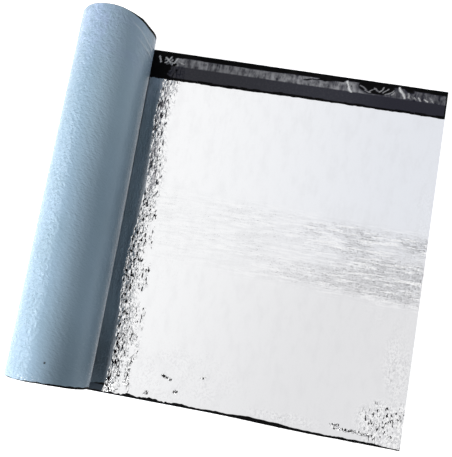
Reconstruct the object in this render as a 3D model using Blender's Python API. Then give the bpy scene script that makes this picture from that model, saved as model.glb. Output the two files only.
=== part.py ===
"""A roll of foil-faced bitumen flashing, partly unrolled, in metres with +Z up.

The roll lies along Y and the unrolled tail runs flat along +X. The tail leaves the roll at its bottom,
so the outermost turn goes from the floor up the -X side, over the top and down to the nip on the +X side.
Four pieces: the bitumen membrane, the foil on its face, the blue release liner on its back and the dark
film over the far selvedge.
"""

import math

import bmesh
import bpy
from mathutils import Matrix, Vector

# The sheet and the roll.
SHEET_WIDTH = 1.0
ROLL_RADIUS = 0.1105
BORE_RADIUS = 0.038
TAIL_REACH = 0.9412
ROLL_SHIFT = 0.0173

# The layers, from the floor up.
LINER_THICKNESS = 0.0004
MEMBRANE_THICKNESS = 0.0012
FACING_THICKNESS = 0.0004
LAYER_GAP = 0.0003
ROLL_GAP = 0.00035

# The face of the tail.
SELVEDGE_WIDTH = 0.0814
SELVEDGE_LINE = 0.003
SELVEDGE_RIM = 0.0015
BARE_MARGIN = 0.006
FACING_START = 0.0225
SLAB_START = 0.004

# The ends of the roll.
TURN_GROOVES = 9
GROOVE_HALF_WIDTH = 0.0009
GROOVE_DEPTH = 0.0012

# The round shapes.
ROLL_SIDES = 64
SHADE_ANGLE = math.radians(20)

# Heights of the layers on the tail.
MEMBRANE_BOTTOM = LINER_THICKNESS + LAYER_GAP
MEMBRANE_TOP = MEMBRANE_BOTTOM + MEMBRANE_THICKNESS
FACING_BOTTOM = MEMBRANE_TOP + LAYER_GAP
FACING_TOP = FACING_BOTTOM + FACING_THICKNESS

# The middle of the whole part stands over the origin.
AXIS_X = -(TAIL_REACH - ROLL_RADIUS) / 2
AXIS_Z = ROLL_RADIUS
TAIL_END = AXIS_X + TAIL_REACH
TAIL_NEAR = -(SHEET_WIDTH + ROLL_SHIFT) / 2
TAIL_FAR = TAIL_NEAR + SHEET_WIDTH
ROLL_NEAR = TAIL_NEAR + ROLL_SHIFT
ROLL_FAR = TAIL_FAR + ROLL_SHIFT

# Colours, roughness and metallic of the four materials.
BITUMEN = ("bitumen", (0.012, 0.012, 0.014), 0.42, 0.0)
FOIL = ("aluminium_foil", (0.83, 0.84, 0.86), 0.22, 1.0)
LINER = ("blue_release_liner", (0.34, 0.45, 0.62), 0.30, 0.0)
SELVEDGE = ("selvedge_film", (0.075, 0.085, 0.10), 0.25, 0.0)


def make_material(name, colour, roughness, metallic):
    """A plain Principled BSDF material."""
    material = bpy.data.materials.new(name)
    material.use_nodes = True
    shader = material.node_tree.nodes["Principled BSDF"]
    shader.inputs["Base Color"].default_value = (*colour, 1.0)
    shader.inputs["Roughness"].default_value = roughness
    shader.inputs["Metallic"].default_value = metallic
    material.diffuse_color = (*colour, 1.0)
    return material


def make_object(name, mesh_builder, finish):
    """One named object from a bmesh, with its own material and outward normals."""
    bmesh.ops.recalc_face_normals(mesh_builder, faces=mesh_builder.faces)
    mesh = bpy.data.meshes.new(name)
    mesh_builder.to_mesh(mesh)
    mesh_builder.free()
    obj = bpy.data.objects.new(name, mesh)
    bpy.context.scene.collection.objects.link(obj)
    mesh.materials.append(make_material(*finish))
    return obj


def shade_round(obj):
    """Smooth shading on the round faces, with the sharp edges kept."""
    bpy.context.view_layer.update()
    with bpy.context.temp_override(active_object=obj, object=obj, selected_editable_objects=[obj]):
        bpy.ops.object.shade_smooth_by_angle(angle=SHADE_ANGLE)


def add_box(builder, low, high):
    """A box between two corners."""
    low = Vector(low)
    high = Vector(high)
    matrix = Matrix.Translation((low + high) / 2) @ Matrix.Diagonal((*(high - low), 1.0))
    bmesh.ops.create_cube(builder, size=1.0, matrix=matrix)


def make_box(name, low, high, finish):
    """An object that is one box."""
    builder = bmesh.new()
    add_box(builder, low, high)
    return make_object(name, builder, finish)


def ring_point(radius, index, y):
    """A corner of the many-sided roll: `radius` is to the flats, and flat 0 faces the floor."""
    step = 2 * math.pi / ROLL_SIDES
    angle = (index + 0.5) * step
    reach = radius / math.cos(step / 2)
    return Vector((AXIS_X - reach * math.sin(angle), y, AXIS_Z - reach * math.cos(angle)))


def end_profile(y, inward, inner, outer):
    """Points (radius, y) over one end of the roll from the bore out, with a groove between turns."""
    points = [(inner, y)]
    pitch = (outer - inner) / (TURN_GROOVES + 1)
    for turn in range(1, TURN_GROOVES + 1):
        middle = inner + turn * pitch
        points.append((middle - GROOVE_HALF_WIDTH, y))
        points.append((middle, y + inward * GROOVE_DEPTH))
        points.append((middle + GROOVE_HALF_WIDTH, y))
    points.append((outer, y))
    return points


def turned_roll(builder):
    """The wound roll as one turned solid with its bore."""
    outer = ROLL_RADIUS - LINER_THICKNESS - ROLL_GAP
    profile = end_profile(ROLL_NEAR, 1, BORE_RADIUS, outer)
    profile += reversed(end_profile(ROLL_FAR, -1, BORE_RADIUS, outer))
    rings = []
    for radius, y in profile:
        rings.append([builder.verts.new(ring_point(radius, side, y)) for side in range(ROLL_SIDES)])
    for ring, following in zip(rings, rings[1:] + rings[:1]):
        for side in range(ROLL_SIDES):
            nxt = (side + 1) % ROLL_SIDES
            builder.faces.new((ring[side], ring[nxt], following[nxt], following[side]))


def join(body, addition):
    """The union of two objects, kept in the first one."""
    modifier = body.modifiers.new("union", "BOOLEAN")
    modifier.operation = "UNION"
    modifier.solver = "EXACT"
    modifier.object = addition
    addition.hide_render = True
    addition.display_type = "WIRE"


def build_membrane():
    """The bitumen sheet: the wound roll and the flat tail in one body."""
    builder = bmesh.new()
    turned_roll(builder)
    roll = make_object("membrane", builder, BITUMEN)
    tail = make_box(
        "tail_slab",
        (AXIS_X + SLAB_START, TAIL_NEAR, MEMBRANE_BOTTOM),
        (TAIL_END, TAIL_FAR, MEMBRANE_TOP),
        BITUMEN,
    )
    join(roll, tail)
    shade_round(roll)
    return roll


def liner_path(radius, height):
    """Corners of one face of the liner: the cut end, the turn-up under the roll, then round to the nip."""
    corners = [Vector((TAIL_END, 0.0, height))]
    for side in range(ROLL_SIDES - 2):
        corners.append(ring_point(radius, side, 0.0))
    return corners


def build_liner():
    """The blue film: flat under the tail and once round the roll."""
    under = liner_path(ROLL_RADIUS, 0.0)
    over = liner_path(ROLL_RADIUS - LINER_THICKNESS, LINER_THICKNESS)
    levels = [TAIL_NEAR, ROLL_NEAR, TAIL_FAR, ROLL_FAR]
    builder = bmesh.new()
    grid = {}

    def corner(station, level, face):
        key = (station, level, face)
        if key not in grid:
            place = (under if face == 0 else over)[station].copy()
            place.y = levels[level]
            grid[key] = builder.verts.new(place)
        return grid[key]

    def filled(span, band):
        return 0 <= span < len(under) - 1 and band in ((0, 1) if span == 0 else (1, 2))

    for span in range(len(under) - 1):
        for band in range(len(levels) - 1):
            if not filled(span, band):
                continue
            for face in (0, 1):
                builder.faces.new(
                    [corner(span + a, band + b, face) for a, b in ((0, 0), (1, 0), (1, 1), (0, 1))]
                )
            for step, edge in ((-1, 0), (1, 1)):
                if not filled(span + step, band):
                    builder.faces.new(
                        [corner(span + edge, band + b, face) for b, face in ((0, 0), (1, 0), (1, 1), (0, 1))]
                    )
                if not filled(span, band + step):
                    builder.faces.new(
                        [corner(span + a, band + edge, face) for a, face in ((0, 0), (1, 0), (1, 1), (0, 1))]
                    )
    liner = make_object("release_liner", builder, LINER)
    shade_round(liner)
    return liner


def build_foil():
    """The aluminium foil on the face of the tail, short of the near edge and of the selvedge."""
    return make_box(
        "foil_facing",
        (AXIS_X + FACING_START, TAIL_NEAR + BARE_MARGIN, FACING_BOTTOM),
        (TAIL_END, TAIL_FAR - SELVEDGE_WIDTH, FACING_TOP),
        FOIL,
    )


def build_selvedge_film():
    """The dark film over the sticky selvedge along the far edge."""
    return make_box(
        "selvedge_film",
        (AXIS_X + FACING_START, TAIL_FAR - SELVEDGE_WIDTH + SELVEDGE_LINE, FACING_BOTTOM),
        (TAIL_END, TAIL_FAR - SELVEDGE_RIM, FACING_TOP),
        SELVEDGE,
    )


def main():
    for obj in list(bpy.data.objects):
        bpy.data.objects.remove(obj, do_unlink=True)
    build_membrane()
    build_liner()
    build_foil()
    build_selvedge_film()
    bpy.context.view_layer.update()


main()
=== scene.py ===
"""A roll of foil-faced bitumen membrane, partly unrolled, dressed for a plain studio picture.

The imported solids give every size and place. The pieces made here are the wound roll with every turn
showing on its ends, the blue release film round it, the flat tail with its foil face, and the crinkled
film over the selvedge.

Lengths are in metres. `u` is the distance from the roll's axis along the tail, and `arc` the distance
round the roll from where it touches the floor. A span is a start and an end: a smooth step over it is 0
at the start and 1 at the end, which may lie below the start.
"""

from __future__ import annotations

import logging
import math
from dataclasses import dataclass, field
from enum import Enum
from typing import ClassVar

import bmesh
import bpy
import numpy as np
from mathutils import Matrix, Vector

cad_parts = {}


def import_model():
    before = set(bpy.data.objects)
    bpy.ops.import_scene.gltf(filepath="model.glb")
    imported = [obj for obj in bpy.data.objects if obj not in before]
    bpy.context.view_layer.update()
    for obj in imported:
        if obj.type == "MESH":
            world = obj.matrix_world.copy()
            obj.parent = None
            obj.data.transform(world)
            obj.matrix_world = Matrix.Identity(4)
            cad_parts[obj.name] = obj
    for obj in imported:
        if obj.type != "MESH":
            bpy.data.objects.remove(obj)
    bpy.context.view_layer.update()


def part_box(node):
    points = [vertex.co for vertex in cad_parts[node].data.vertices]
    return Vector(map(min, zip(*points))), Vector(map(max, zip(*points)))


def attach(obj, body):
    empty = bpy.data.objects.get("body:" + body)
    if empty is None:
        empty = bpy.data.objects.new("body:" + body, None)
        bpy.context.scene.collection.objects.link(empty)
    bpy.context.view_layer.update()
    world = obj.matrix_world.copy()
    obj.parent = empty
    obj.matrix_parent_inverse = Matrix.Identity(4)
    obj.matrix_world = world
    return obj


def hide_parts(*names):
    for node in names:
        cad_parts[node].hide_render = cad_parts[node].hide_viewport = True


log = logging.getLogger("membrane_roll")

Span = tuple[float, float]
Colour = tuple[float, float, float, float]


class Body(str, Enum):
    """The bodies that a piece can ride on."""

    ROOT = "root"


class Node(str, Enum):
    """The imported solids, by name."""

    MEMBRANE = "membrane"
    FOIL = "foil_facing"
    LINER = "release_liner"
    SELVEDGE = "selvedge_film"


class End(Enum):
    """The two ends of the roll."""

    NEAR = "near"
    FAR = "far"


class Signal:
    """One number from a node, which Python's own operators combine into Math nodes."""

    def __init__(self, nodes: "Nodes", socket: bpy.types.NodeSocket) -> None:
        """Keeps the tree and the output socket.

        Args:
            nodes: The node tree that the socket belongs to.
            socket: The output socket that carries the number.
        """
        self.nodes = nodes
        self.socket = socket

    def _math(self, operation: str, first: object, second: object = 0.0) -> "Signal":
        """One Math node on two values."""
        node = self.nodes.add("ShaderNodeMath", {"operation": operation}, {0: first, 1: second})
        return Signal(self.nodes, node.outputs[0])

    def __add__(self, other: object) -> "Signal":
        """This plus the other."""
        return self._math("ADD", self, other)

    def __radd__(self, other: float) -> "Signal":
        """A number plus this."""
        return self._math("ADD", other, self)

    def __sub__(self, other: object) -> "Signal":
        """This less the other."""
        return self._math("SUBTRACT", self, other)

    def __rsub__(self, other: float) -> "Signal":
        """A number less this."""
        return self._math("SUBTRACT", other, self)

    def __mul__(self, other: object) -> "Signal":
        """This times the other."""
        return self._math("MULTIPLY", self, other)

    def __rmul__(self, other: float) -> "Signal":
        """A number times this."""
        return self._math("MULTIPLY", other, self)

    def largest(self, other: object) -> "Signal":
        """The larger of the two."""
        return self._math("MAXIMUM", self, other)

    def capped(self, top: float = 1.0) -> "Signal":
        """This, but never more than `top`."""
        return self._math("MINIMUM", self, top)

    def distance(self, other: object) -> "Signal":
        """How far this is from the other, always positive."""
        return self._math("ABSOLUTE", self - other)

    def between(self, start: float, end: float) -> "Signal":
        """A smooth step.

        Args:
            start: The value where the result is still 0.
            end: The value where the result reaches 1; it may lie below `start`.

        Returns:
            The smooth step as a signal.
        """
        values = {"Value": self, "From Min": start, "From Max": end}
        node = self.nodes.add("ShaderNodeMapRange", {"interpolation_type": "SMOOTHSTEP"}, values)
        return Signal(self.nodes, node.outputs["Result"])


class Nodes:
    """A node tree that is filled by short calls."""

    def __init__(self, tree: bpy.types.NodeTree) -> None:
        """Keeps the tree."""
        self.tree = tree

    def add(self, kind: str, settings: dict | None = None, inputs: dict | None = None) -> bpy.types.Node:
        """Adds one node, with its settings first and then its inputs.

        Args:
            kind: The node's type name.
            settings: Attributes of the node, such as a Math node's operation.
            inputs: Values, signals or sockets for the node's inputs, by name or index.

        Returns:
            The new node.
        """
        node = self.tree.nodes.new(kind)
        for key, value in (settings or {}).items():
            setattr(node, key, value)
        for key, value in (inputs or {}).items():
            self.feed(node.inputs[key], value)
        return node

    def feed(self, socket: bpy.types.NodeSocket, value: object) -> None:
        """Links a signal or a socket to an input, or sets a plain value on it.

        Args:
            socket: The input to feed.
            value: A signal, an output socket or a plain value.
        """
        source = value.socket if isinstance(value, Signal) else value
        if isinstance(source, bpy.types.NodeSocket):
            self.tree.links.new(source, socket)
        else:
            socket.default_value = source


@dataclass(frozen=True)
class Pattern:
    """A cloudy shader pattern: its blobs to the metre, its stretch on each axis, its finer detail.

    With a `turn` it lies on the wound film, turned by that angle; without one it lies on the object.
    """

    per_metre: float
    stretch: tuple[float, float, float] = (1.0, 1.0, 1.0)
    detail: float = 3.0
    roughness: float = 0.5
    turn: float | None = None


class Graph(Nodes):
    """A material's nodes round a Principled shader, with the colour that has been laid so far."""

    def __init__(self, name: str) -> None:
        """Makes an empty material graph.

        Args:
            name: The material's name.
        """
        self.material = bpy.data.materials.new(name)
        self.material.use_nodes = True
        super().__init__(self.material.node_tree)
        self.shader = self.tree.nodes["Principled BSDF"]
        self.tone: object = None

    def own(self) -> bpy.types.NodeSocket:
        """The object's own coordinates in metres."""
        return self.add("ShaderNodeTexCoord").outputs["Object"]

    def axis(self, name: str) -> Signal:
        """One axis of the object's coordinates, in metres: X, Y or Z."""
        return Signal(self, self.add("ShaderNodeSeparateXYZ", {}, {"Vector": self.own()}).outputs[name])

    def attribute(self, name: str) -> Signal:
        """A number stored on the mesh under this name."""
        return Signal(self, self.add("ShaderNodeAttribute", {"attribute_name": name}).outputs["Fac"])

    def wound(self, turn: float) -> bpy.types.NodeSocket:
        """Turned coordinates on the wound film: metres round the roll, then metres along it."""
        flat = self.add("ShaderNodeCombineXYZ", {}, {0: self.attribute("arc"), 1: self.axis("Y")})
        turned = {"Vector": flat.outputs[0], "Rotation": (0.0, 0.0, turn)}
        return self.add("ShaderNodeMapping", {}, turned).outputs[0]

    def noise(self, pattern: Pattern) -> Signal:
        """Cloudy noise from 0 to 1.

        Args:
            pattern: How fine it is, and where it lies.

        Returns:
            The noise as a signal.
        """
        source = self.own() if pattern.turn is None else self.wound(pattern.turn)
        place = self.add("ShaderNodeMapping", {}, {"Vector": source, "Scale": pattern.stretch})
        values = {"Scale": pattern.per_metre, "Detail": pattern.detail, "Roughness": pattern.roughness}
        node = self.add("ShaderNodeTexNoise", {}, {"Vector": place.outputs[0], **values})
        return Signal(self, node.outputs["Fac"])

    def mix(self, amount: Signal, low: object, high: object) -> bpy.types.NodeSocket:
        """A colour that goes from `low` at an amount of 0 to `high` at 1."""
        node = self.add("ShaderNodeMix", {"data_type": "RGBA"}, {0: amount, 6: low, 7: high})
        return node.outputs[2]

    def lay(self, colour: object, amount: Signal) -> None:
        """Lays a colour over what has been laid so far, as thickly as the amount says."""
        self.tone = self.mix(amount, self.tone, colour)

    def shade(self, values: dict[str, object]) -> None:
        """Sets or links the shader's own sockets, and its base colour to the laid one.

        Args:
            values: Values, signals or sockets, by the name of the shader's input.
        """
        for name, value in {"Base Color": self.tone, **values}.items():
            self.feed(self.shader.inputs[name], value)

    def bump(self, height: Signal, metres: float) -> None:
        """Adds relief to the shader's normal, on top of any relief that is there already.

        Args:
            height: The relief, from 0 to 1.
            metres: The height of the relief.
        """
        node = self.add("ShaderNodeBump", {}, {"Strength": 1.0, "Distance": metres, "Height": height})
        normal = self.shader.inputs["Normal"]
        if normal.is_linked:
            self.tree.links.new(normal.links[0].from_socket, node.inputs["Normal"])
        self.tree.links.new(node.outputs["Normal"], normal)


def rgb(red: float, green: float, blue: float) -> Colour:
    """An opaque colour in linear light."""
    return (red, green, blue, 1.0)


@dataclass(frozen=True)
class Finish:
    """What every finish has: a name, a roughness and its own way to dress a material."""

    name: str
    roughness: float

    def material(self) -> bpy.types.Material:
        """Builds a new material with this finish.

        Returns:
            The finished material.
        """
        graph = Graph(self.name)
        self.dress(graph)
        return graph.material

    def dress(self, graph: Graph) -> None:
        """Fills the graph; every finish has its own."""
        raise NotImplementedError


@dataclass(frozen=True)
class FoilFinish(Finish):
    """Bright rolled aluminium foil: a clean mirror where flat; where creased, painted black and white stand
    for its dark reflections and glints.
    """

    name: str = "bright_foil"
    roughness: float = 0.025
    fresh: Colour = rgb(0.945, 0.95, 0.96)
    # A darker tone, painted shade toward the tail's cut end and its near edge.
    painted_shade: Colour = rgb(0.765, 0.765, 0.78)
    cool: Colour = rgb(0.77, 0.79, 0.84)
    grey: Colour = rgb(0.60, 0.60, 0.62)
    glint: Colour = rgb(1.0, 1.0, 1.0)
    # A lavender grey, a painted reflection of the roll in the crinkled foil.
    painted_reflection: Colour = rgb(0.28, 0.27, 0.31)
    # Black and a soft dark grey, painted dark reflections of the creases and pits.
    crease: Colour = rgb(0.004, 0.003, 0.004)
    soft_crease: Colour = rgb(0.07, 0.07, 0.08)
    # A dark, dull colour, a painted dark reflection in the nook at the near edge.
    painted_nook_shade: Colour = rgb(0.005, 0.019, 0.036)
    painted_shade_run: Span = (-0.30, 0.45)
    painted_shade_lean: float = 0.3
    cool_run: Span = (-0.30, 0.55)
    cool_side: Span = (-0.12, 0.22)
    cloud: Pattern = Pattern(6.0)
    cloud_share: float = 0.15
    ripples: Pattern = Pattern(210.0, (0.09, 1.0, 1.0), 2.0, 0.6)
    ripple_lines: Span = (0.46, 0.66)
    ripple_glints: Span = (0.47, 0.38)
    ripple_grey: float = 0.52
    ripple_height: float = 0.0004
    ripple_rough: float = 0.04
    grain: Pattern = Pattern(230.0, (0.7, 1.0, 1.0), 2.0, 0.7)
    grain_steps: Span = (0.44, 0.62)
    grain_grey: float = 0.30
    mottle: Pattern = Pattern(36.0, (1.0, 0.45, 1.0), 4.0, 0.6)
    mottle_steps: Span = (0.42, 0.72)
    mottle_grey: float = 0.13
    worn: Span = (0.0, 0.55)
    glitter: Pattern = Pattern(225.0, (1.0, 0.75, 1.0), 1.5, 0.6)
    glitter_glints: Span = (0.48, 0.58)
    glint_worry: Span = (-0.4, 0.9)
    glitter_dark: Span = (0.50, 0.40)
    dark_worry: Span = (1.2, 0.1)
    dark_grey: float = 0.75
    far_side: Span = (0.0, 0.10)
    painted_reflections: Pattern = Pattern(90.0, (1.0, 0.5, 1.0), 2.0)
    reflection_steps: Span = (0.44, 0.58)
    reflection_worry: Span = (0.9, 1.3)
    reflection_near: float = 0.20
    reflection_far: float = 0.42
    strokes: Pattern = Pattern(240.0, (1.0, 0.40, 1.0), 1.0)
    threads: Pattern = Pattern(270.0, (1.0, 0.22, 1.0), 1.0)
    stroke_steps: Span = (0.642, 0.664)
    stroke_worry: Span = (0.22, 0.45)
    stroke_gain: float = 0.060
    gain_top: float = 1.35
    pit_fill: Span = (1.82, 1.95)
    pit_steps: Span = (0.44, 0.50)
    pit_worry: Span = (1.5, 1.7)
    shade_steps: Span = (0.0, 1.0)
    shade_grey: float = 0.55
    nook_shade_tone: Span = (-0.10, -0.50)
    nook_shade_steps: Span = (-0.25, -0.75)
    nook_shade_rough: float = 0.55
    felt_rough: float = 0.02
    facets: Pattern = Pattern(170.0, (1.0, 0.5, 1.0), 3.0, 0.6)
    facet_steps: Span = (0.45, 0.55)
    facet_height: float = 0.0005

    def dress(self, graph: Graph) -> None:
        """Lays the foil's tones and ripples, painted shade, and the painted glints and dark reflections of
        its creases.

        Args:
            graph: The material graph to fill.
        """
        worry, streak, shade = (graph.attribute(name) for name in ("worry", "streak", "shade"))
        run, side = graph.axis("X"), graph.axis("Y")
        # Painted shade darkens the foil toward the tail's cut end and its near edge; it also turns bluer
        # toward the far side and the cut end.
        shaded_tone = graph.mix((run - self.painted_shade_lean * side).between(*self.painted_shade_run), self.fresh, self.painted_shade)
        cooled = graph.mix(run.between(*self.cool_run), self.fresh, self.cool)
        cloudy = side + self.cloud_share * graph.noise(self.cloud)
        graph.tone = graph.mix(cloudy.between(*self.cool_side), shaded_tone, cooled)

        # The streak band's fine lines: grey lines, with painted glints between them.
        ripples = graph.noise(self.ripples)
        lines = ripples.between(*self.ripple_lines)
        grain = graph.noise(self.grain).between(*self.grain_steps)
        graph.lay(self.grey, (self.ripple_grey * lines + self.grain_grey * grain) * streak)
        graph.lay(self.glint, ripples.between(*self.ripple_glints) * streak)
        graph.lay(self.grey, graph.noise(self.mottle).between(*self.mottle_steps) * self.mottle_grey)

        # Painted sparkle in the worn, crumpled patches: white glints and grey specks.
        worn = worry.between(*self.worn)
        glitter = graph.noise(self.glitter)
        graph.lay(self.glint, glitter.between(*self.glitter_glints) * worn * worry.between(*self.glint_worry))
        dark = glitter.between(*self.glitter_dark) * worn * worry.between(*self.dark_worry)
        graph.lay(self.grey, dark * self.dark_grey)

        far = side.between(*self.far_side)
        # A painted lavender reflection of the roll, where the crinkles are densest.
        painted_reflection = graph.noise(self.painted_reflections).between(*self.reflection_steps) * worry.between(*self.reflection_worry)
        graph.lay(self.painted_reflection, painted_reflection * (self.reflection_near + self.reflection_far * far))
        # Painted dark reflections of the creases: black strokes, softer dark threads toward the far side,
        # then black pits.
        strokes, threads = graph.noise(self.strokes), graph.noise(self.threads)
        drawn = strokes + (threads - strokes) * far + self.stroke_gain * worry.capped(self.gain_top)
        drawn = drawn.between(*self.stroke_steps) * worry.between(*self.stroke_worry)
        graph.lay(graph.mix(far, self.crease, self.soft_crease), drawn)
        pitted = (strokes + worry.between(*self.pit_fill)).between(*self.pit_steps)
        graph.lay(self.crease, pitted * worry.between(*self.pit_worry))

        # Painted shade on the mirror beside the creases; in the near nook a painted dark reflection that is
        # no longer metal.
        graph.lay(self.grey, shade.between(*self.shade_steps) * self.shade_grey)
        graph.lay(self.painted_nook_shade, shade.between(*self.nook_shade_tone))
        nook_shaded = shade.between(*self.nook_shade_steps)
        felt = worry.capped()
        rough = self.roughness + self.felt_rough * felt + self.ripple_rough * streak
        graph.shade({"Metallic": 1.0 - nook_shaded, "Roughness": rough + self.nook_shade_rough * nook_shaded})
        facets = graph.noise(self.facets).between(*self.facet_steps)
        graph.bump((facets - 0.5) * felt * felt, self.facet_height)
        graph.bump((lines + grain - 1.0) * streak, self.ripple_height)


@dataclass(frozen=True)
class LinerFinish(Finish):
    """Pale blue release film, siliconised, with a fine crinkle. Arcs are metres round the roll."""

    name: str = "blue_release_film"
    roughness: float = 0.20
    gloss: float = 0.33
    sheen: Colour = rgb(0.85, 0.95, 1.0)
    colour: Colour = rgb(0.258, 0.372, 0.470)
    pale: Colour = rgb(0.286, 0.406, 0.526)
    lavender: Colour = rgb(0.375, 0.49, 0.67)
    # Paler blues, painted light on the roll's upper side and toward its far end.
    bright: Colour = rgb(0.345, 0.48, 0.60)
    airy: Colour = rgb(0.42, 0.575, 0.70)
    # A pale blue-white, painted glints on the creases and the near lip.
    painted_glint: Colour = rgb(0.80, 0.88, 0.95)
    # A near black, painted shade on the side toward the tail, at the near end and along the nip, and one
    # dark speck.
    shade_and_speck: Colour = rgb(0.02, 0.025, 0.03)
    cloud: Pattern = Pattern(11.0, (1.0, 0.7, 1.0), turn=0.0)
    cloud_steps: Span = (0.3, 0.7)
    cloud_share: float = 0.10
    lit_arc: Span = (0.28, 0.40)
    unlit_arc: Span = (0.43, 0.55)
    lit_share: float = 0.6
    airy_side: Span = (0.0, 0.34)
    shaded_arc: Span = (0.44, 0.54)
    shaded_share: float = 0.16
    far_side: Span = (0.33, 0.60)
    blotches: Pattern = Pattern(34.0, (0.8, 1.0, 1.0), roughness=0.6, turn=0.5)
    blotch_steps: Span = (0.35, 0.65)
    blotch_low: float = 0.45
    blotch_gain: float = 0.9
    step_arc: Span = (0.338, 0.346)
    step_side: Span = (0.38, 0.43)
    step_share: float = 0.55
    crease_share: float = 0.55
    sparks: Pattern = Pattern(300.0, detail=1.0, turn=0.0)
    spark_steps: Span = (0.60, 0.66)
    lip_side: Span = (-0.474, -0.484)
    lip_start: Span = (0.27, 0.30)
    lip_end: Span = (0.38, 0.34)
    near_side: Span = (-0.26, -0.47)
    near_arc: Span = (0.31, 0.42)
    near_share: float = 0.24
    under_arc: Span = (0.515, 0.565)
    under_share: float = 0.62
    nip_arc: Span = (0.6000, 0.6090)
    nip_share: float = 0.95
    speck_arc: float = 0.3647
    speck_side: float = -0.4403
    speck_steps: Span = (0.00345, 0.00138)
    ripples: Pattern = Pattern(170.0, (0.5, 1.0, 1.0), 2.0, 0.6, 0.25)
    ripple_rough: float = 0.12
    ripple_height: float = 0.0011
    scratches: Pattern = Pattern(120.0, (0.22, 1.0, 1.0), 3.0, 0.6, 0.85)
    scratch_height: float = 0.0007
    rumples: Pattern = Pattern(125.0, (0.9, 0.6, 1.0), 3.0, 0.6, 0.6)
    rumple_arc: Span = (0.36, 0.27)
    rumple_side: Span = (0.20, -0.30)
    rumple_low: float = 0.35
    rumple_gain: float = 0.65
    rumple_far: float = 0.30
    rumple_height: float = 0.0080

    def dress(self, graph: Graph) -> None:
        """Lays the film's blues, the light and shade painted on its sides, ends and nip, its painted glints
        and its relief.

        Args:
            graph: The material graph to fill.
        """
        arc, side = graph.attribute("arc"), graph.axis("Y")
        cloud = graph.noise(self.cloud)
        cloudy = side + self.cloud_share * cloud
        graph.tone = graph.mix(cloud.between(*self.cloud_steps), self.colour, self.pale)
        # Painted light on the roll's upper side, paler toward the far end, then painted shade on its side
        # toward the tail.
        lit = arc.between(*self.lit_arc) * (1.0 - arc.between(*self.unlit_arc)) * self.lit_share
        graph.lay(self.bright, lit)
        graph.lay(self.airy, lit * cloudy.between(*self.airy_side))
        graph.lay(self.shade_and_speck, arc.between(*self.shaded_arc) * self.shaded_share)

        far = cloudy.between(*self.far_side)
        blotch = self.blotch_low + self.blotch_gain * graph.noise(self.blotches).between(*self.blotch_steps)
        step = arc.between(*self.step_arc) * side.between(*self.step_side)
        graph.lay(self.lavender, far * blotch * (1.0 - self.step_share * step))
        # Painted glints along the raised creases, and painted sparkles on the lip at the near end.
        graph.lay(self.painted_glint, graph.attribute("crease") * self.crease_share)
        lip = side.between(*self.lip_side) * arc.between(*self.lip_start) * arc.between(*self.lip_end)
        graph.lay(self.painted_glint, graph.noise(self.sparks).between(*self.spark_steps) * lip)

        # Painted shade toward the near end, on the underside by the near end and along the nip where the
        # roll meets the floor; then one small dark speck.
        near = side.between(*self.near_side)
        graph.lay(self.shade_and_speck, near * arc.between(*self.near_arc) * self.near_share)
        under = arc.between(*self.under_arc) * near * self.under_share
        graph.lay(self.shade_and_speck, arc.between(*self.nip_arc).largest(under) * self.nip_share)
        away = arc.distance(self.speck_arc).largest(side.distance(self.speck_side))
        graph.lay(self.shade_and_speck, away.between(*self.speck_steps))

        ripple = graph.noise(self.ripples)
        rough = self.roughness + self.ripple_rough * ripple
        graph.shade({"Roughness": rough, "Specular IOR Level": self.gloss, "Specular Tint": self.sheen})
        graph.bump(ripple, self.ripple_height)
        graph.bump(graph.noise(self.scratches), self.scratch_height)
        beside = self.rumple_low + self.rumple_gain * side.between(*self.rumple_side)
        creased = arc.between(*self.rumple_arc) * beside + self.rumple_far * far
        graph.bump((graph.noise(self.rumples) - 0.5) * creased, self.rumple_height)


@dataclass(frozen=True)
class BitumenFinish(Finish):
    """Black polymer-bitumen compound with a soft sheen."""

    name: str = "bitumen_compound"
    roughness: float = 0.5
    gloss: float = 0.08
    colour: Colour = rgb(0.0025, 0.0025, 0.003)
    worn: Colour = rgb(0.009, 0.0085, 0.009)
    cloud: Pattern = Pattern(30.0, detail=2.0)
    cloud_steps: Span = (0.5, 0.8)
    grain: Pattern = Pattern(420.0)
    grain_rough: float = 0.2
    grain_height: float = 0.0004

    def dress(self, graph: Graph) -> None:
        """Lays the compound's two blacks and its grain.

        Args:
            graph: The material graph to fill.
        """
        grain = graph.noise(self.grain)
        graph.tone = graph.mix(graph.noise(self.cloud).between(*self.cloud_steps), self.colour, self.worn)
        rough = self.roughness + self.grain_rough * grain
        graph.shade({"Roughness": rough, "Specular IOR Level": self.gloss})
        graph.bump(grain, self.grain_height)


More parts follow.
